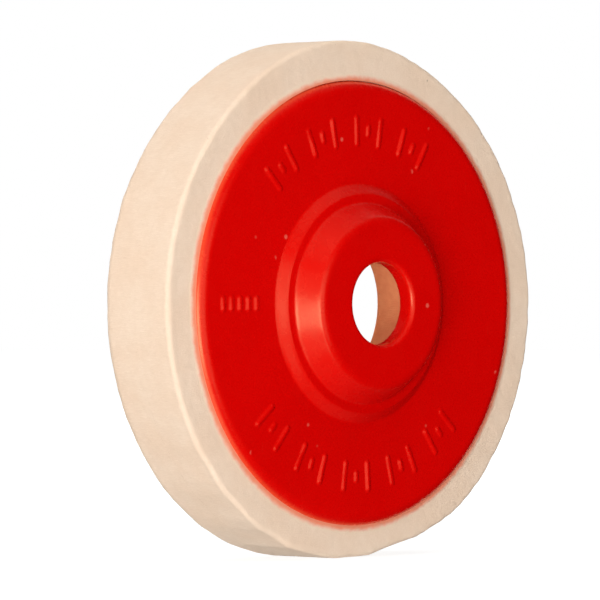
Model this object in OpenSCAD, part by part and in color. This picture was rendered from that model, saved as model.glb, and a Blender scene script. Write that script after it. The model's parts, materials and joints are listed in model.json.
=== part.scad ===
/* [Felt] */
// Diameter of the felt disc
felt_d = 100; // [96:1:125]
// Thickness of both plies and the glue between them
felt_t = 18; // [16:0.5:24]
// Hole through the front ply, under the hub
front_hole_d = 30; // [26:0.5:31]
// Wider hole through the back ply, room for a nut and its key
back_hole_d = 54; // [40:1:60]
// Rounding of the felt's two outer edges
felt_round = 1.5; // [0.5:0.1:3]

/* [Plate] */
// Diameter of the plate's flange
plate_d = 86.4; // [82:0.2:88]
// Thickness of the flange
flange_t = 1.9; // [1.5:0.1:2.2]
// Width of the flange's edge, which curves over its whole thickness
flange_edge_w = 2.5; // [1.5:0.5:5]
// How far the flange's back lies below the felt's front face
flange_sink = 0.5; // [0.2:0.1:0.8]

/* [Hub] */
// Arbor hole
bore_d = 16; // [12:0.1:17]
// Rounding where the arbor hole meets the hub's face
bore_round = 1; // [0.4:0.1:1.2]
// Height of the hub's face above the felt's front face
hub_h = 7.7; // [7:0.1:9]
// Diameter of the boss at its foot
boss_foot_d = 39; // [37:0.5:40]
// Diameter of the boss at its face, before the edge is curved
boss_face_d = 33; // [32:0.2:36]
// Width of the boss's curved edge
boss_edge_w = 2; // [1:0.5:4]
// Depth of the boss's curved edge
boss_edge_h = 1; // [0.6:0.1:2]
// Thickness of the wall that the spindle goes through
web_t = 3.5; // [2.5:0.1:3.8]
// Diameter of the hollow inside the hub, at its mouth
hollow_d = 33; // [32:0.2:33.6]
// Rounding inside the hollow
hollow_round = 1; // [0.4:0.1:1.4]

/* [Step] */
// Diameter of the step at its foot
step_foot_d = 46.4; // [44:0.2:47]
// Diameter of the step at its top
step_top_d = 42.4; // [41:0.2:43.4]
// Height of the step above the flange
step_h = 1.6; // [1:0.1:2]

/* [Moulded marks] */
// Height of the marks above the flange
mark_h = 0.4; // [0.2:0.1:0.8]
// Width of a mark
mark_w = 1; // [0.8:0.1:1.6]
// Radius at the middle of the two rows of bars
mark_r = 33.5; // [31:0.5:34]
// Length of a long bar
bar_long = 6.6; // [4:0.2:7]
// Length of a short bar
bar_short = 3; // [2:0.2:4]
// Angle between neighbouring bars
bar_pitch = 5.4; // [5:0.1:6.5]
// Places in the upper row: every fourth is left empty
top_bars = 15; // [7:4:15]
// Angle at the middle of the upper row, from +X towards +Z
top_angle = 97; // [80:1:100]
// Places in the lower row: every fourth is left empty
bottom_bars = 19; // [7:4:19]
// Angle at the middle of the lower row
bottom_angle = 268; // [265:1:275]
// Ticks in the short row at one side
tick_count = 5; // [3:1:5]
// Distance between neighbouring ticks
tick_pitch = 2.2; // [1.8:0.1:2.4]
// Length of a tick
tick_long = 3.6; // [2:0.2:5]

/* [Glue] */
// Thickness of the glue under the plate
plate_glue_t = 0.3; // [0.2:0.05:0.5]
// Thickness of the glue between the plies
ply_glue_t = 0.2; // [0.2:0.05:0.4]
// How far the glue stays back from the edges it bonds
glue_margin = 0.5; // [0.3:0.1:1]

/* [Hidden] */
$fn = 128;

// Radii
felt_r = felt_d / 2;
plate_r = plate_d / 2;
bore_r = bore_d / 2;
boss_foot_r = boss_foot_d / 2;
boss_face_r = boss_face_d / 2;
hollow_r = hollow_d / 2;
step_foot_r = step_foot_d / 2;
step_top_r = step_top_d / 2;
front_hole_r = front_hole_d / 2;
back_hole_r = back_hole_d / 2;

// Heights along the axis, counted from the felt's front face towards the hub
flange_back = -flange_sink;
flange_top = flange_back + flange_t;
step_top = flange_top + step_h;
web_back = hub_h - web_t;
seat_floor = flange_back - plate_glue_t;
ply_t = (felt_t - ply_glue_t) / 2;
front_ply_back = -ply_t;
back_ply_front = front_ply_back - ply_glue_t;
// The origin is halfway between the hub's face and the felt's back
middle = (hub_h - felt_t) / 2;

// Clearance round the plate in its seat
seat_gap = 0.1;
// Draft of the hollow's wall
hollow_draft = 0.7;
// Depth that a mark is rooted in the flange
mark_root = 0.3;
// Distance from the axis to the middle of the row of ticks
tick_r = 32.5;
arc_steps = 8;

// Points on an oval with half axes w and h, from angle a0 to angle a1
function oval(centre, w, h, a0, a1) =
    [for (i = [0:arc_steps]) let (a = a0 + (a1 - a0) * i / arc_steps) centre + [w * cos(a), h * sin(a)]];

// Points on an arc from angle a0 to angle a1
function arc(centre, r, a0, a1) = oval(centre, r, r, a0, a1);

// Lean of the boss's wall from the axis, and the centre of the oval edge that runs smoothly into it
boss_lean = atan2(boss_foot_r - boss_face_r, hub_h - step_top);
boss_reach = norm([boss_edge_w * cos(boss_lean), boss_edge_h * sin(boss_lean)]);
boss_centre = [boss_face_r + boss_edge_h * tan(boss_lean) - boss_reach / cos(boss_lean), hub_h - boss_edge_h];
boss_edge_end = atan(boss_edge_h * tan(boss_lean) / boss_edge_w);

// Turns a profile of radius and height about the wheel's axis, which lies along Y
module turned() {
    translate([0, middle, 0])
        rotate([90, 0, 0])
            rotate_extrude()
                children();
}

// A flat ring between two heights
module ring(inner_r, outer_r, low, high) {
    turned()
        translate([inner_r, low])
            square([outer_r - inner_r, high - low]);
}

// One bar that stands on the flange at angle a, along the radius
module bar(a, long, r) {
    rotate([0, 0, a])
        translate([r - long / 2, -mark_w / 2, flange_top - mark_root])
            cube([long, mark_w, mark_root + mark_h]);
}

// A row of bars centred on angle a, in threes: long, short, long
module bar_row(a, count) {
    for (i = [0:count - 1])
        if (i % 4 < 3)
            bar(a + (i - (count - 1) / 2) * bar_pitch, i % 4 == 1 ? bar_short : bar_long, mark_r);
}

// A row of short ticks along the radius at 180 degrees
module tick_row() {
    for (i = [0:tick_count - 1])
        translate([-tick_r + (i - (tick_count - 1) / 2) * tick_pitch - mark_w / 2, -tick_long / 2,
                   flange_top - mark_root])
            cube([mark_w, tick_long, mark_root + mark_h]);
}

module plate_profile() {
    polygon(concat(
        [[bore_r, web_back]],
        arc([bore_r + bore_round, hub_h - bore_round], bore_round, 180, 90),
        oval(boss_centre, boss_edge_w, boss_edge_h, 90, boss_edge_end),
        [[boss_foot_r, step_top], [step_top_r, step_top], [step_foot_r, flange_top]],
        oval([plate_r - flange_edge_w, flange_back], flange_edge_w, flange_t, 90, 0),
        [[hollow_r, flange_back]],
        arc([hollow_r - hollow_draft - hollow_round, web_back - hollow_round], hollow_round, 0, 90)
    ));
}

module backing_plate() {
    color("red") {
        turned() plate_profile();
        translate([0, middle, 0])
            rotate([90, 0, 0]) {
                bar_row(top_angle, top_bars);
                bar_row(bottom_angle, bottom_bars);
                tick_row();
            }
    }
}

module plate_adhesive() {
    color("goldenrod")
        ring(hollow_r + glue_margin, plate_r - glue_margin, seat_floor, flange_back);
}

module front_felt_ply() {
    color("antiquewhite")
        turned()
            polygon(concat(
                [[front_hole_r, front_ply_back], [felt_r, front_ply_back]],
                arc([felt_r - felt_round, -felt_round], felt_round, 0, 90),
                [[plate_r + seat_gap, 0], [plate_r + seat_gap, seat_floor], [front_hole_r, seat_floor]]
            ));
}

module ply_adhesive() {
    color("khaki")
        ring(back_hole_r + glue_margin, felt_r - glue_margin, back_ply_front, front_ply_back);
}

module back_felt_ply() {
    color("blanchedalmond")
        turned()
            polygon(concat(
                [[back_hole_r, back_ply_front], [back_hole_r, -felt_t]],
                arc([felt_r - felt_round, felt_round - felt_t], felt_round, -90, 0),
                [[felt_r, back_ply_front]]
            ));
}

backing_plate();
plate_adhesive();
front_felt_ply();
ply_adhesive();
back_felt_ply();
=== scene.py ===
"""Looks of the felt polishing wheel: pressed felt plies, moulded plastic plate, glue, studio and camera.

Profiles are given as (radius, height): the distance from the wheel's axis, which lies along Y, and the
height in front of the felt's front face, towards the hub. Angles are seen from the hub side, from +X
towards +Z.
"""
import json
import math

import bpy
import numpy as np
from mathutils import Matrix, Vector, noise


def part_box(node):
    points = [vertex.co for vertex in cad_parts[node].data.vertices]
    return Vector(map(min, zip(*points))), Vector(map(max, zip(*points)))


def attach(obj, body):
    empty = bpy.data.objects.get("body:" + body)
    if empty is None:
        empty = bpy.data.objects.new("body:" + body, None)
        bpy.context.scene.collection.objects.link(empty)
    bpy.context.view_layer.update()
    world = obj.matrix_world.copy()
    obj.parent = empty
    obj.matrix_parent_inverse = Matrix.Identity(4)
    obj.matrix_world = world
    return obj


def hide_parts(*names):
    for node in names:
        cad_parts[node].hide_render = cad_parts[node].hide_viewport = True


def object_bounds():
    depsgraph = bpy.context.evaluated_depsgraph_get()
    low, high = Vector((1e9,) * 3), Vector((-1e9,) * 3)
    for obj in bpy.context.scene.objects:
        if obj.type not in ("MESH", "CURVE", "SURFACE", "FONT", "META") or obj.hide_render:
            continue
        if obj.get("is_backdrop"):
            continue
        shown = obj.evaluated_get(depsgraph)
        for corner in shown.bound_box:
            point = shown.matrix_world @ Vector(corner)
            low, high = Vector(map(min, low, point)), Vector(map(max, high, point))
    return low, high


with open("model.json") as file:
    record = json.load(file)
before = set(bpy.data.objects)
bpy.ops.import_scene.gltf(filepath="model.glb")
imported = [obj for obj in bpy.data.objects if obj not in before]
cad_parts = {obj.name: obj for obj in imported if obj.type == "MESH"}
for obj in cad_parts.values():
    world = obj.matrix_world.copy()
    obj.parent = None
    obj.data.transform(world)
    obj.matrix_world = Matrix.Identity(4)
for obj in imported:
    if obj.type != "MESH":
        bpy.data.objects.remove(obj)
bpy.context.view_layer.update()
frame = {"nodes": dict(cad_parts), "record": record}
MM = 0.001

# ---------------------------------------------------------------- sizes, from the frame
front_low, front_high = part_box("front_felt_ply")
back_low, back_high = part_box("back_felt_ply")
plate_low, plate_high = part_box("backing_plate")
plate_glue_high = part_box("plate_adhesive")[1]
ply_glue_low, ply_glue_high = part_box("ply_adhesive")
mounts = {m["name"]: m for m in frame["record"]["mounts"]}

FACE_Y = front_low.y
FELT_R = front_high.x
PLATE_R = plate_high.z
BORE_R = mounts["arbor_bore"]["dims"]["r_mm"] * MM
HUB_H = FACE_Y - plate_low.y
WEB_BACK = FACE_Y - mounts["hub_rear_seat"]["pos_m"][1]
FLANGE_BACK = FACE_Y - plate_high.y
SEAT_FLOOR = FACE_Y - plate_glue_high.y
FRONT_PLY_BACK = FACE_Y - front_high.y
BACK_PLY_FRONT = FACE_Y - back_low.y
FELT_BACK = FACE_Y - back_high.y

# Sizes that part.scad gives and the frame doesn't
FLANGE_TOP = 1.4 * MM
STEP_TOP = 3.0 * MM
STEP_FOOT_R = 23.2 * MM
STEP_TOP_R = 21.2 * MM
BOSS_FOOT_R = 19.5 * MM
BOSS_FACE_R = 16.5 * MM
BOSS_EDGE_W, BOSS_EDGE_H = 2.0 * MM, 1.0 * MM
FLANGE_EDGE_W = 2.5 * MM
HOLLOW_R = 16.5 * MM
HOLLOW_TOP_R = 15.8 * MM
FRONT_HOLE_R = 15.0 * MM
BACK_HOLE_R = 27.0 * MM
GLUE_MARGIN = 0.5 * MM
MARK_R = 33.5 * MM
BAR_PITCH = 5.4
# The two rows of bars: (angle at the middle, places)
ROWS = [(97.0, 15), (268.0, 19)]
BAR_LONG, BAR_SHORT = 6.6 * MM, 3.0 * MM
TICK_R, TICK_PITCH, TICK_LONG, TICKS = 32.5 * MM, 2.2 * MM, 3.6 * MM, 5

# Lengths closer together than this count as the same
SAME = 0.01 * MM
# Edges that turn by more than this are drawn sharp
SHARP = math.radians(50)


# ---------------------------------------------------------------- mesh building
def rounded(corners, arc_step=0.25 * MM):
    """A closed outline from corners of (radius, height, rounding)."""
    points = []
    count = len(corners)
    for i, (x, y, r) in enumerate(corners):
        corner = np.array([x, y])
        if r == 0:
            points.append(corner)
            continue
        back = np.array(corners[i - 1][:2]) - corner
        ahead = np.array(corners[(i + 1) % count][:2]) - corner
        back /= np.linalg.norm(back)
        ahead /= np.linalg.norm(ahead)
        half = math.acos(float(back @ ahead)) / 2
        middle = (back + ahead) / np.linalg.norm(back + ahead)
        centre = corner + middle * r / math.sin(half)
        start = corner + back * r / math.tan(half) - centre
        end = corner + ahead * r / math.tan(half) - centre
        first = math.atan2(start[1], start[0])
        turn = (math.atan2(end[1], end[0]) - first + math.pi) % (2 * math.pi) - math.pi
        steps = max(2, math.ceil(abs(turn) * r / arc_step))
        for k in range(steps + 1):
            a = first + turn * k / steps
            points.append(centre + r * np.array([math.cos(a), math.sin(a)]))
    return points


def oval(centre, w, h, a0, a1, steps=14):
    """Corners with no rounding, on an oval with half axes w and h, from angle a0 to angle a1."""
    angles = [a0 + (a1 - a0) * i / steps for i in range(steps + 1)]
    return [(centre[0] + w * math.cos(a), centre[1] + h * math.sin(a), 0) for a in angles]


def filled(outline, step):
    """The outline with points added where two neighbours lie further apart than step(point) allows."""
    points = []
    for a, b in zip(outline, outline[1:] + outline[:1]):
        parts = max(1, math.ceil(np.linalg.norm(b - a) / step((a + b) / 2)))
        points += [a + (b - a) * k / parts for k in range(parts)]
    return np.array(points)


def outward(outline):
    """Unit normals of a closed outline, pointing out of it."""
    along = np.roll(outline, -1, 0) - np.roll(outline, 1, 0)
    across = np.stack([along[:, 1], -along[:, 0]], 1)
    across /= np.linalg.norm(across, axis=1)[:, None]
    x, y = outline.T
    area = np.sum(x * np.roll(y, -1) - np.roll(x, -1) * y)
    return across if area > 0 else -across


def lathe(name, outline, angles, shape=None):
    """A closed mesh turned from an outline. shape(radius, height, angle) returns moved radii and heights."""
    r = np.repeat(outline[:, 0][:, None], len(angles), 1)
    h = np.repeat(outline[:, 1][:, None], len(angles), 1)
    a = np.repeat(angles[None, :], len(outline), 0)
    if shape:
        r, h = shape(r, h, a)
    x, y, z = r * np.cos(a), FACE_Y - h, r * np.sin(a)
    rows, turns = r.shape
    i, j = np.meshgrid(np.arange(rows), np.arange(turns), indexing="ij")
    ahead, beside = (i + 1) % rows, (j + 1) % turns
    quads = np.stack([i * turns + j, i * turns + beside, ahead * turns + beside, ahead * turns + j], -1)
    corners = np.stack([x, y, z], -1).reshape(-1, 3)
    quads = quads.reshape(-1, 4)
    first = corners[quads]
    volume = np.einsum("ij,ij->i", first[:, 0], np.cross(first[:, 1], first[:, 2])).sum()
    volume += np.einsum("ij,ij->i", first[:, 0], np.cross(first[:, 2], first[:, 3])).sum()
    if volume < 0:
        quads = quads[:, ::-1]
    mesh = bpy.data.meshes.new(name)
    mesh.from_pydata(corners.tolist(), [], quads.tolist())
    mesh.polygons.foreach_set("use_smooth", [True] * len(mesh.polygons))
    mesh.set_sharp_from_angle(angle=SHARP)
    mesh.update()
    piece = bpy.data.objects.new(name, mesh)
    bpy.context.scene.collection.objects.link(piece)
    return piece


def angles_round(count):
    """Evenly spaced angles, once round the axis."""
    return np.linspace(0, 2 * math.pi, count, endpoint=False)


def smooth(value, low, high):
    """0 below low, 1 above high, and an S between them."""
    t = np.clip((value - low) / (high - low), 0, 1)
    return t * t * (3 - 2 * t)


def rumple(x, y, z, wave, seed):
    """Smooth noise between about -1 and 1, with bumps about wave across."""
    shift = Vector((seed * 17.3, seed * 5.1, seed * 9.7))
    flat = np.stack([x, y, z], -1).reshape(-1, 3) / wave
    values = [noise.noise(Vector(p) + shift) for p in flat.tolist()]
    return np.array(values).reshape(np.shape(x))


# ---------------------------------------------------------------- felt
# Points round the felt and round the glue
FELT_TURNS, GLUE_TURNS = 640, 320
# Pressed felt closes in on the plate, so it shows a smaller gap than the solid has
FELT_TUCK = 0.02 * MM
# At the rim the two plies are pressed together over the glue: height, width and half the gap of their seam
SEAM = (FRONT_PLY_BACK + BACK_PLY_FRONT) / 2
SEAM_W, SEAM_GAP = 0.45 * MM, 0.005 * MM
# Flats left by trimming: (middle angle, half the angle it spans, lean). A positive lean cuts deeper at the
# front.
FLATS = [(-77, 8, 0.3), (218, 4.5, 0.7), (231, 4.5, 0.7), (244.5, 5, 0.8), (256, 7, 0.3)]
# The disc bulges a little at the top and is worn at the bottom: (from, to, half the angle of its soft ends,
# how far)
BULGES = [(76, 118, 20, 1.05 * MM), (-97, -60, 7, -0.9 * MM)]
# Flats and bulges die out between these radii
TRIM_INNER_R, TRIM_OUTER_R = 40 * MM, 49 * MM
# The felt's own unevenness, and the wear of its outer edges: (size, distance between bumps, seed)
GRAIN = [(0.06 * MM, 11 * MM, 1), (0.05 * MM, 4 * MM, 2), (0.03 * MM, 1.3 * MM, 3)]
EDGE_WEAR = [(0.10 * MM, 2.2 * MM, 4), (0.09 * MM, 7 * MM, 5)]
# How far the wear reaches from an edge
WEAR_REACH = 2.0 * MM
# The felt stays flat this close to a glued face and to the plate's edge, and this deep under the plate
BOND_REACH, SEAT_SKIN = 0.3 * MM, 0.2 * MM
# How far the felt swells up against the plate's edge, and how far out the swelling reaches
LIP_H, LIP_W = 0.3 * MM, 1.2 * MM


def turned(angle, centre):
    """Degrees from centre to angle, between -180 and 180."""
    return (np.degrees(angle) - centre + 180) % 360 - 180


def trimmed(angle, height):
    """How far the felt's rim lies off its true circle."""
    middle = FELT_BACK / 2
    lean_at = np.clip((height - middle) / abs(middle), -1, 1)
    off = np.zeros_like(angle)
    for start, end, soft, size in BULGES:
        beyond = np.abs(turned(angle, (start + end) / 2)) - (end - start) / 2
        off += size * smooth(-beyond, -soft, soft)
    for centre, half, lean in FLATS:
        away = np.clip(np.abs(turned(angle, centre)), 0, half)
        chord = FELT_R * (math.cos(math.radians(half)) / np.cos(np.radians(away)) - 1)
        off += chord * (1 + lean * lean_at)
    return off


def trimmed_radius(r, h, a):
    """The radius once the rim is trimmed."""
    return r + smooth(r, TRIM_INNER_R, TRIM_OUTER_R) * trimmed(a, h)


def layered(layers, x, y, z):
    """The sum of several sizes of noise."""
    return sum(size * rumple(x, y, z, wave, seed) for size, wave, seed in layers)


def felt_shape(outline, bonds):
    """A shape function for a felt ply. bonds are the heights where it is glued, which stay flat."""
    normals = outward(outline)

    def shape(r, h, a):
        x, y, z = r * np.cos(a), -h, r * np.sin(a)
        loose = np.ones_like(h)
        for bond in bonds:
            loose *= smooth(np.abs(h - bond), 0.0, BOND_REACH)
        under_plate = (h > SEAT_FLOOR - SEAT_SKIN) & (r < PLATE_R)
        beside_plate = (r > PLATE_R) & (r < PLATE_R + BOND_REACH)
        grain = np.where(under_plate | beside_plate, 0, layered(GRAIN, x, y, z))
        wear = layered(EDGE_WEAR, x, y, z)
        r = trimmed_radius(r, h, a)
        for edge_h, way in ((0.0, 1), (FELT_BACK, -1)):
            near = np.exp(-(((r - FELT_R) / WEAR_REACH) ** 2 + ((h - edge_h) / WEAR_REACH) ** 2))
            h = h - way * near * wear
            r = r - near * wear
        # Both plies' corners at the seam move along the radius only, so the seam stays closed
        on_seam = (np.abs(h - SEAM) < 10 * SEAM_GAP) & (outline[:, 0][:, None] > FELT_R - SAME)
        normal_r = np.where(on_seam, 1, normals[:, 0][:, None])
        normal_h = np.where(on_seam, 0, normals[:, 1][:, None])
        return r + normal_r * grain, h + normal_h * grain * loose

    return shape


def felt_step(point):
    """Point spacing on the felt's outlines: coarse under the plate and between the plies, fine elsewhere."""
    r, h = point
    under_plate = h > SEAT_FLOOR - SAME and r < PLATE_R - 1 * MM
    between = abs(h - FRONT_PLY_BACK) < BOND_REACH and r > BACK_HOLE_R + 1 * MM
    return 4 * MM if under_plate or between else 0.45 * MM


def seat_wall():
    """The wall of the plate's seat in the front ply, which follows the flange's curved edge."""
    centre = (PLATE_R - FLANGE_EDGE_W + FELT_TUCK, FLANGE_BACK)
    height = FLANGE_TOP - FLANGE_BACK
    return oval(centre, FLANGE_EDGE_W, height, math.asin((LIP_H - FLANGE_BACK) / height), 0, steps=7)


def felt_piece(name, node, corners, bonds):
    """A felt ply, made from its outline's corners, that stands for a CAD node."""
    outline = filled(rounded(corners), felt_step)
    piece = lathe(name, outline, angles_round(FELT_TURNS), felt_shape(outline, bonds))
    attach(piece, "root")
    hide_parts(node)
    return piece


front_felt = felt_piece("front_felt", "front_felt_ply", [
    (FRONT_HOLE_R, FRONT_PLY_BACK, 0.5 * MM),
    (FELT_R - SEAM_W, FRONT_PLY_BACK, 0),
    (FELT_R - SEAM_W, SEAM + SEAM_GAP, 0),
    (FELT_R, SEAM + SEAM_GAP, 0),
    (FELT_R, SEAM + 3 * SEAM_GAP, 0),
    (FELT_R, 0, 0.9 * MM),
    (PLATE_R + LIP_W, 0, 1.5 * MM),
    *seat_wall(),
    (PLATE_R + FELT_TUCK, SEAT_FLOOR, 0.06 * MM),
    (FRONT_HOLE_R, SEAT_FLOOR, 0.3 * MM),
], [FRONT_PLY_BACK, SEAM, SEAT_FLOOR])
back_felt = felt_piece("back_felt", "back_felt_ply", [
    (BACK_HOLE_R, BACK_PLY_FRONT, 0.2 * MM),
    (BACK_HOLE_R, FELT_BACK, 0.8 * MM),
    (FELT_R, FELT_BACK, 2.2 * MM),
    (FELT_R, SEAM - 3 * SEAM_GAP, 0),
    (FELT_R, SEAM - SEAM_GAP, 0),
    (FELT_R - SEAM_W, SEAM - SEAM_GAP, 0),
    (FELT_R - SEAM_W, BACK_PLY_FRONT, 0),
], [BACK_PLY_FRONT, SEAM])

glue_outline = filled(rounded([
    (BACK_HOLE_R + GLUE_MARGIN, FACE_Y - ply_glue_high.y, 0),
    (ply_glue_high.x, FACE_Y - ply_glue_high.y, 0),
    (ply_glue_high.x, FACE_Y - ply_glue_low.y, 0),
    (BACK_HOLE_R + GLUE_MARGIN, FACE_Y - ply_glue_low.y, 0),
]), lambda point: 2 * MM)


def glue_shape(r, h, a):
    """The glue between the plies ends a little inside the trimmed rim."""
    return trimmed_radius(r, h, a), h


ply_glue = lathe("ply_glue", glue_outline, angles_round(GLUE_TURNS), glue_shape)
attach(ply_glue, "root")
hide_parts("ply_adhesive")


# ---------------------------------------------------------------- plate
# Height of a mark, and half its width at the foot and at its flat top
MARK_H = 0.36 * MM
MARK_HALF_W, MARK_TOP_HALF_W = 0.85 * MM, 0.12 * MM
# Radii and angles with marks, where the plate's points lie closer together
MARKED_R = (26 * MM, 39.5 * MM)
TICK_SPAN = (172, 188)


def mark_lines():
    """The middle line of every raised mark on the plate: two ends, as (across, up) seen from the hub side."""
    lines = []
    for centre, places in ROWS:
        for i in range(places):
            if i % 4 == 3:
                continue
            a = math.radians(centre + (i - (places - 1) / 2) * BAR_PITCH)
            way = np.array([math.cos(a), math.sin(a)])
            half = (BAR_SHORT if i % 4 == 1 else BAR_LONG) / 2 - MARK_HALF_W
            lines.append((way * (MARK_R - half), way * (MARK_R + half)))
    for i in range(TICKS):
        across = -TICK_R + (i - (TICKS - 1) / 2) * TICK_PITCH
        half = TICK_LONG / 2 - MARK_HALF_W
        lines.append((np.array([across, -half]), np.array([across, half])))
    return lines


def plate_shape(r, h, a):
    """Raises the marks on the flange, as low soft beads that are a little worn in places."""
    flat = np.abs(h - FLANGE_TOP) < SAME
    here = np.stack([r * np.cos(a), r * np.sin(a)], -1)
    nearest = np.full(r.shape, 1.0)
    for start, end in mark_lines():
        line = end - start
        t = np.clip((here - start) @ line / (line @ line), 0, 1)
        nearest = np.minimum(nearest, np.linalg.norm(here - start - t[..., None] * line, axis=-1))
    bead = smooth(-nearest, -MARK_HALF_W, -MARK_TOP_HALF_W)
    wear = 0.8 + 0.4 * rumple(here[..., 0], np.zeros_like(r), here[..., 1], 4 * MM, 7)
    return r, h + np.where(flat, MARK_H * bead * wear, 0)


def plate_angles():
    """Angles round the plate, closer together where the marks are."""
    fine, coarse = math.radians(0.3), math.radians(0.9)
    spans = [(c - (n + 1) / 2 * BAR_PITCH, c + (n + 1) / 2 * BAR_PITCH) for c, n in ROWS] + [TICK_SPAN]
    angles, a = [], 0.0
    while a < 2 * math.pi - fine / 2:
        angles.append(a)
        inside = any(low < math.degrees(a) < high for low, high in spans)
        a += fine if inside else coarse
    return np.array(angles)


def plate_step(point):
    """Point spacing on the plate's outline: finest under the marks, and coarse on the hidden back."""
    r, h = point
    if h < FLANGE_BACK + 0.1 * MM:
        return 3 * MM
    return 0.25 * MM if MARKED_R[0] < r < MARKED_R[1] else 0.6 * MM


def boss_edge():
    """The boss's curved edge, an oval that runs smoothly into its leaning wall."""
    lean = math.atan2(BOSS_FOOT_R - BOSS_FACE_R, HUB_H - STEP_TOP)
    reach = math.hypot(BOSS_EDGE_W * math.cos(lean), BOSS_EDGE_H * math.sin(lean))
    centre = (BOSS_FACE_R + BOSS_EDGE_H * math.tan(lean) - reach / math.cos(lean), HUB_H - BOSS_EDGE_H)
    end = math.atan(BOSS_EDGE_H * math.tan(lean) / BOSS_EDGE_W)
    return oval(centre, BOSS_EDGE_W, BOSS_EDGE_H, math.pi / 2, end)


def flange_edge():
    """The flange's edge, an oval over the flange's whole thickness."""
    centre = (PLATE_R - FLANGE_EDGE_W, FLANGE_BACK)
    return oval(centre, FLANGE_EDGE_W, FLANGE_TOP - FLANGE_BACK, math.pi / 2, 0)


plate_outline = filled(rounded([
    (BORE_R, WEB_BACK, 0.25 * MM),
    (BORE_R, HUB_H, 1.0 * MM),
    *boss_edge(),
    (BOSS_FOOT_R, STEP_TOP, 0.5 * MM),
    (STEP_TOP_R, STEP_TOP, 0.5 * MM),
    (STEP_FOOT_R, FLANGE_TOP, 0.8 * MM),
    *flange_edge(),
    (HOLLOW_R, FLANGE_BACK, 0.4 * MM),
    (HOLLOW_TOP_R, WEB_BACK, 1.0 * MM),
]), plate_step)
plate = lathe("plate", plate_outline, plate_angles(), plate_shape)
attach(plate, "root")
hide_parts("backing_plate")


# ---------------------------------------------------------------- materials
class Shader:
    """A node material, with short calls for the nodes that the surfaces share. Textures work in
    millimetres."""

    def __init__(self, name):
        self.material = bpy.data.materials.new(name)
        self.material.use_nodes = True
        self.tree = self.material.node_tree
        self.surface = self.tree.nodes["Principled BSDF"]
        place = self.tree.nodes.new("ShaderNodeTexCoord")
        self.place = self.vector("SCALE", place.outputs["Object"], scale=1 / MM)

    def link(self, value, socket):
        """Joins a node's output to the socket, or sets the socket to a plain value."""
        if isinstance(value, bpy.types.NodeSocket):
            self.tree.links.new(value, socket)
        elif value is not None:
            socket.default_value = value

    def vector(self, operation, a, b=None, scale=None):
        node = self.tree.nodes.new("ShaderNodeVectorMath")
        node.operation = operation
        self.link(a, node.inputs[0])
        self.link(b, node.inputs[1])
        if scale is not None:
            node.inputs["Scale"].default_value = scale
        return node.outputs[0]

    def maths(self, operation, a, b):
        node = self.tree.nodes.new("ShaderNodeMath")
        node.operation = operation
        self.link(a, node.inputs[0])
        self.link(b, node.inputs[1])
        return node.outputs[0]

    def noise(self, wave, detail=3.0, rough=0.55, place=None, distortion=0.0):
        """Noise from 0 to 1 with features about wave millimetres across."""
        node = self.tree.nodes.new("ShaderNodeTexNoise")
        self.link(place or self.place, node.inputs["Vector"])
        node.inputs["Scale"].default_value = 1 / wave
        node.inputs["Detail"].default_value = detail
        node.inputs["Roughness"].default_value = rough
        node.inputs["Distortion"].default_value = distortion
        return node.outputs["Fac"]

    def spots(self, wave):
        """The distance to the nearest of many scattered points, about wave millimetres apart."""
        node = self.tree.nodes.new("ShaderNodeTexVoronoi")
        self.link(self.place, node.inputs["Vector"])
        node.inputs["Scale"].default_value = 1 / wave
        return node.outputs["Distance"]

    def stretched(self, scale, turn):
        """The place, turned and squeezed, so that a texture runs in streaks along one direction."""
        node = self.tree.nodes.new("ShaderNodeMapping")
        self.link(self.place, node.inputs["Vector"])
        node.inputs["Rotation"].default_value = [math.radians(t) for t in turn]
        node.inputs["Scale"].default_value = scale
        return node.outputs["Vector"]

    def radius(self):
        """Millimetres from the wheel's axis."""
        across = self.tree.nodes.new("ShaderNodeVectorMath")
        across.operation = "LENGTH"
        self.link(self.vector("MULTIPLY", self.place, (1, 0, 1)), across.inputs[0])
        return across.outputs["Value"]

    def along_axis(self):
        """Millimetres along Y."""
        split = self.tree.nodes.new("ShaderNodeSeparateXYZ")
        self.link(self.place, split.inputs[0])
        return split.outputs["Y"]

    def span(self, value, low, high, to_low=0.0, to_high=1.0):
        """value from low..high to to_low..to_high, clamped."""
        node = self.tree.nodes.new("ShaderNodeMapRange")
        node.interpolation_type = "SMOOTHSTEP"
        self.link(value, node.inputs["Value"])
        for name, number in (("From Min", low), ("From Max", high), ("To Min", to_low), ("To Max", to_high)):
            node.inputs[name].default_value = number
        return node.outputs["Result"]

    def mix(self, share, a, b):
        """Colour a, turning into colour b as share goes from 0 to 1."""
        node = self.tree.nodes.new("ShaderNodeMix")
        node.data_type = "RGBA"
        self.link(share, node.inputs["Factor"])
        for value, socket in ((a, node.inputs[6]), (b, node.inputs[7])):
            self.link((*value, 1.0) if isinstance(value, tuple) else value, socket)
        return node.outputs[2]

    def bump(self, height, distance):
        """height from 0 to 1 as a bump that is distance metres deep."""
        node = self.tree.nodes.new("ShaderNodeBump")
        node.inputs["Distance"].default_value = distance
        self.link(height, node.inputs["Height"])
        self.tree.links.new(node.outputs["Normal"], self.surface.inputs["Normal"])

    def set(self, **sockets):
        """Sets the surface's own sockets, named with _ for each space."""
        for name, value in sockets.items():
            self.link(value, self.surface.inputs[name.replace("_", " ")])


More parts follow.
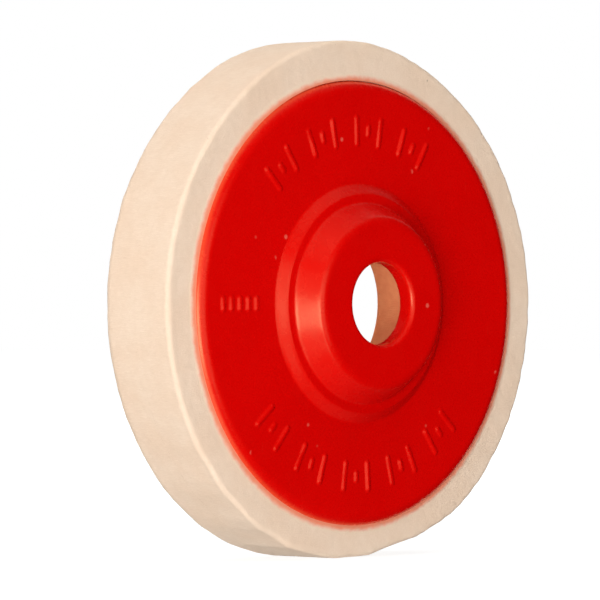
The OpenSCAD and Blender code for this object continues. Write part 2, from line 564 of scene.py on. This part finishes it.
def felt_material():
    """Pressed wool: fibres lying every way, soft mottling, a few darker flecks, glue soaked into the small
    hole's wall, and a red tint on the felt beside the plate: partly dye worn off the plate, partly a
    painted red glow that the plate throws on the felt."""
    s = Shader("pressed_felt")
    layers = []
    for turn in ((10, 20, 0), (70, 15, 40), (25, 80, 110), (130, 50, 75), (60, 120, 20)):
        streaks = s.noise(0.16, 2.0, 0.6, s.stretched((1, 0.12, 1), turn), 0.6)
        layers.append(s.span(streaks, 0.42, 0.62))
    fibres = layers[0]
    for layer in layers[1:]:
        fibres = s.maths("ADD", fibres, layer)
    fibres = s.maths("MULTIPLY", fibres, 1 / len(layers))
    tufts = s.noise(1.6, 3.0, 0.6)
    mottle = s.noise(8.0, 3.0, 0.5)
    colour = s.mix(s.span(mottle, 0.3, 0.7), (0.95, 0.72, 0.54), (0.975, 0.765, 0.59))
    colour = s.mix(s.span(tufts, 0.35, 0.75, 0.0, 0.3), colour, (0.88, 0.655, 0.475))
    colour = s.mix(s.span(fibres, 0.25, 0.75, 0.16, 0.0), colour, (0.72, 0.49, 0.32))
    near = s.span(s.spots(5.5), 0.02, 0.05, 1.0, 0.0)
    rare = s.span(s.noise(3.1, 0.0), 0.60, 0.66)
    colour = s.mix(s.maths("MULTIPLY", near, s.maths("MULTIPLY", rare, 0.5)), colour, (0.38, 0.24, 0.13))

    radius = s.maths("ADD", s.radius(), s.span(tufts, 0.3, 0.7, -0.15, 0.15))
    soaked = s.span(radius, FRONT_HOLE_R / MM + 1.2, FRONT_HOLE_R / MM + 2.2, 1.0, 0.0)
    glue_stain = s.mix(s.span(tufts, 0.3, 0.7), (0.88, 0.33, 0.14), (0.94, 0.39, 0.17))
    colour = s.mix(soaked, colour, glue_stain)
    # A red tint on the felt beside the plate, at the front: partly dye worn off the plate, partly painted red
    # glow standing for the light that the plate throws on the felt
    dye_and_painted_red_glow = s.span(radius, PLATE_R / MM + 0.1, PLATE_R / MM + 1.3, 0.85, 0.0)
    beside_plate = s.span(radius, PLATE_R / MM - 0.8, PLATE_R / MM - 0.6)
    dye_and_painted_red_glow = s.maths("MULTIPLY", dye_and_painted_red_glow, beside_plate)
    at_front = s.span(s.along_axis(), FACE_Y / MM + 0.5, FACE_Y / MM + 1.0, 1.0, 0.0)
    colour = s.mix(s.maths("MULTIPLY", dye_and_painted_red_glow, at_front), colour, (0.92, 0.20, 0.09))

    height = s.maths("ADD", s.maths("MULTIPLY", fibres, 0.5), s.maths("MULTIPLY", tufts, 0.7))
    height = s.maths("ADD", height, s.maths("MULTIPLY", s.noise(0.9, 2.0), 0.3))
    s.bump(height, 0.10 * MM)
    s.set(Base_Color=colour, Roughness=s.span(fibres, 0.2, 0.8, 0.98, 0.88), Specular_IOR_Level=0.15)
    s.set(Sheen_Weight=0.12, Sheen_Roughness=0.5, Sheen_Tint=(1.0, 0.93, 0.84, 1.0))
    return s.material


def plastic_material():
    """Moulded red plastic: semi-gloss, a fine skin, faint scuffs, a few specks of felt dust, and a painted
    orange highlight round the flange's outer edge.
    """
    s = Shader("moulded_red_plastic")
    flow = s.noise(14.0, 2.0, 0.5)
    skin = s.noise(0.55, 3.0, 0.6)
    scuff = s.noise(0.22, 2.0, 0.6, s.stretched((1, 1, 0.05), (0, 35, 0)), 0.3)
    scuff = s.span(scuff, 0.70, 0.76)
    colour = s.mix(s.span(flow, 0.3, 0.7), (0.71, 0.0005, 0.0003), (0.74, 0.0006, 0.0004))
    colour = s.mix(s.maths("MULTIPLY", scuff, 0.05), colour, (0.80, 0.07, 0.04))
    near = s.span(s.spots(6.5), 0.04, 0.09, 1.0, 0.0)
    rare = s.span(s.noise(4.7, 0.0), 0.46, 0.52)
    colour = s.mix(s.maths("MULTIPLY", near, s.maths("MULTIPLY", rare, 0.8)), colour, (0.86, 0.13, 0.09))
    # Painted highlight: the outermost millimetre of the flange's edge turns orange, standing for the lights
    # and the felt shining in it, and it lightens the shade in the crease where the plate meets the felt
    edge = s.span(s.radius(), PLATE_R / MM - 1.0, PLATE_R / MM - 0.1, 0.0, 0.6)
    colour = s.mix(edge, colour, (0.90, 0.10, 0.03))
    rough = s.span(s.noise(3.0, 3.0, 0.6), 0.3, 0.7, 0.24, 0.30)
    rough = s.maths("ADD", rough, s.maths("MULTIPLY", scuff, 0.15))
    s.bump(s.maths("ADD", skin, s.maths("MULTIPLY", s.noise(4.0, 1.0), 1.2)), 0.012 * MM)
    s.set(Base_Color=colour, Roughness=rough, IOR=1.5, Specular_IOR_Level=0.5)
    s.set(Specular_Tint=(1.0, 0.85, 0.45, 1.0))
    return s.material


def glue_material():
    """Dried contact glue: amber, slightly glossy, with small bubbles and streaks."""
    s = Shader("dried_glue")
    streaks = s.noise(1.2, 3.0, 0.6, s.stretched((1, 1, 0.3), (0, 20, 0)))
    bubbles = s.span(s.spots(0.6), 0.1, 0.3)
    colour = s.mix(s.span(streaks, 0.3, 0.7), (0.42, 0.25, 0.09), (0.60, 0.42, 0.20))
    s.bump(s.maths("ADD", streaks, s.maths("MULTIPLY", bubbles, 0.5)), 0.05 * MM)
    s.set(Base_Color=colour, Roughness=s.span(streaks, 0.3, 0.7, 0.30, 0.5))
    return s.material


def dress(piece, material):
    """Gives the piece this material alone."""
    piece.data.materials.clear()
    piece.data.materials.append(material)


felt, plastic, glue = felt_material(), plastic_material(), glue_material()
dress(front_felt, felt)
dress(back_felt, felt)
dress(plate, plastic)
dress(ply_glue, glue)
dress(frame["nodes"]["plate_adhesive"], glue)


# ---------------------------------------------------------------- studio
# Lights: (name, azimuth, elevation, distance and size in metres, watts)
SOFTBOXES = [
    ("key", 55, -10, 0.8, 0.40, 4.4),
    ("front", 10, 0, 1.3, 0.9, 3.0),
    ("front_high", 40, 10, 1.3, 0.8, 1.8),
    ("front_low", 40, -40, 1.3, 0.6, 1.4),
    ("side_high", 70, 20, 1.3, 0.6, 0.5),
    ("side_low", 70, -30, 1.3, 0.9, 1.2),
    ("rim", 100, 0, 1.3, 0.8, 1.9),
    ("edge", -110, 40, 1.3, 0.8, 1.0),
]
# Lights that leave no highlight on the plastic: two behind the wheel, and what the room and floor return
FILL_LIGHTS = [
    ("back", 180, 15, 1.3, 0.9, 6.0),
    ("back_right", -120, 5, 1.3, 0.9, 5.0),
    ("ceiling", 0, 90, 1.3, 2.6, 28.0),
    ("floor_bounce", 0, -90, 1.3, 2.6, 10.0),
]


def softbox(name, azimuth, elevation, distance, size, power, gloss):
    """A square area light that faces the wheel. azimuth is in degrees from -Y towards -X. Without gloss it
    lights the wheel but leaves no highlight on it."""
    aim = Vector((0, FACE_Y, 0))
    a, e = math.radians(azimuth), math.radians(elevation)
    place = aim + distance * Vector((-math.sin(a) * math.cos(e), -math.cos(a) * math.cos(e), math.sin(e)))
    light = bpy.data.lights.new(name, "AREA")
    light.shape = "SQUARE"
    light.size = size
    light.energy = power
    lamp = bpy.data.objects.new(name, light)
    turn = (aim - place).to_track_quat("-Z", "Y").to_matrix().to_4x4()
    lamp.matrix_world = Matrix.Translation(place) @ turn
    lamp.visible_camera = False
    lamp.visible_glossy = gloss
    bpy.context.scene.collection.objects.link(lamp)


def white_floor(floor_z):
    """A large pale floor that runs into the white backdrop with no horizon. Only the camera sees it: the
    light that it would throw back onto the wheel comes from the light floor_bounce."""
    half = 3.0
    corners = [(-half, -half, floor_z), (half, -half, floor_z), (half, half, floor_z), (-half, half, floor_z)]
    mesh = bpy.data.meshes.new("floor")
    mesh.from_pydata(corners, [], [(0, 1, 2, 3)])
    floor = bpy.data.objects.new("floor", mesh)
    bpy.context.scene.collection.objects.link(floor)
    floor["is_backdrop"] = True
    s = Shader("white_floor")
    s.set(Base_Color=s.mix(s.noise(40.0), (0.30, 0.30, 0.30), (0.32, 0.32, 0.32)), Roughness=0.9)
    # The glow rises to full white away from the wheel, where the floor meets the backdrop
    glow = s.span(s.radius(), 120.0, 350.0, 0.84, 1.0)
    s.set(Specular_IOR_Level=0.0, Emission_Color=(1, 1, 1, 1), Emission_Strength=glow)
    dress(floor, s.material)
    floor.visible_diffuse = floor.visible_glossy = floor.visible_shadow = False


def surround():
    """A dim room round the wheel, and a white backdrop that only the camera sees."""
    world = bpy.data.worlds.new("surround")
    world.use_nodes = True
    links, nodes = world.node_tree.links, world.node_tree.nodes
    room = nodes["Background"]
    room.inputs["Color"].default_value = (1, 1, 1, 1)
    room.inputs["Strength"].default_value = 0.004
    backdrop = nodes.new("ShaderNodeBackground")
    backdrop.inputs["Color"].default_value = (1, 1, 1, 1)
    path = nodes.new("ShaderNodeLightPath")
    choose = nodes.new("ShaderNodeMixShader")
    links.new(path.outputs["Is Camera Ray"], choose.inputs[0])
    links.new(room.outputs[0], choose.inputs[1])
    links.new(backdrop.outputs[0], choose.inputs[2])
    links.new(choose.outputs[0], nodes["World Output"].inputs["Surface"])
    bpy.context.scene.world = world


def camera():
    """A long lens, level with the wheel, 45 degrees to the left of the hub. It aims a little to the left of
    the middle of the felt's front face, and above it."""
    azimuth = math.radians(44.84)
    distance = 991.3 * MM
    lens_mm, sensor_mm = 306.7, 36.0
    aim_left, aim_back, aim_up = 10.4 * MM, 0.435 * MM, 0.7 * MM
    back = Vector((-math.sin(azimuth), -math.cos(azimuth), 0))
    right = Vector((math.cos(azimuth), -math.sin(azimuth), 0))
    aim = Vector((0, FACE_Y + aim_back, aim_up)) - right * aim_left
    data = bpy.data.cameras.new("camera")
    data.lens, data.sensor_width = lens_mm, sensor_mm
    cam = bpy.data.objects.new("camera", data)
    turn = back.to_track_quat("Z", "Y").to_matrix().to_4x4()
    cam.matrix_world = Matrix.Translation(aim + back * distance) @ turn
    bpy.context.scene.collection.objects.link(cam)
    bpy.context.scene.camera = cam


camera()
white_floor(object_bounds()[0].z)
surround()
for light in SOFTBOXES:
    softbox(*light, gloss=True)
for light in FILL_LIGHTS:
    softbox(*light, gloss=False)
bpy.context.scene.view_settings.view_transform = "Standard"
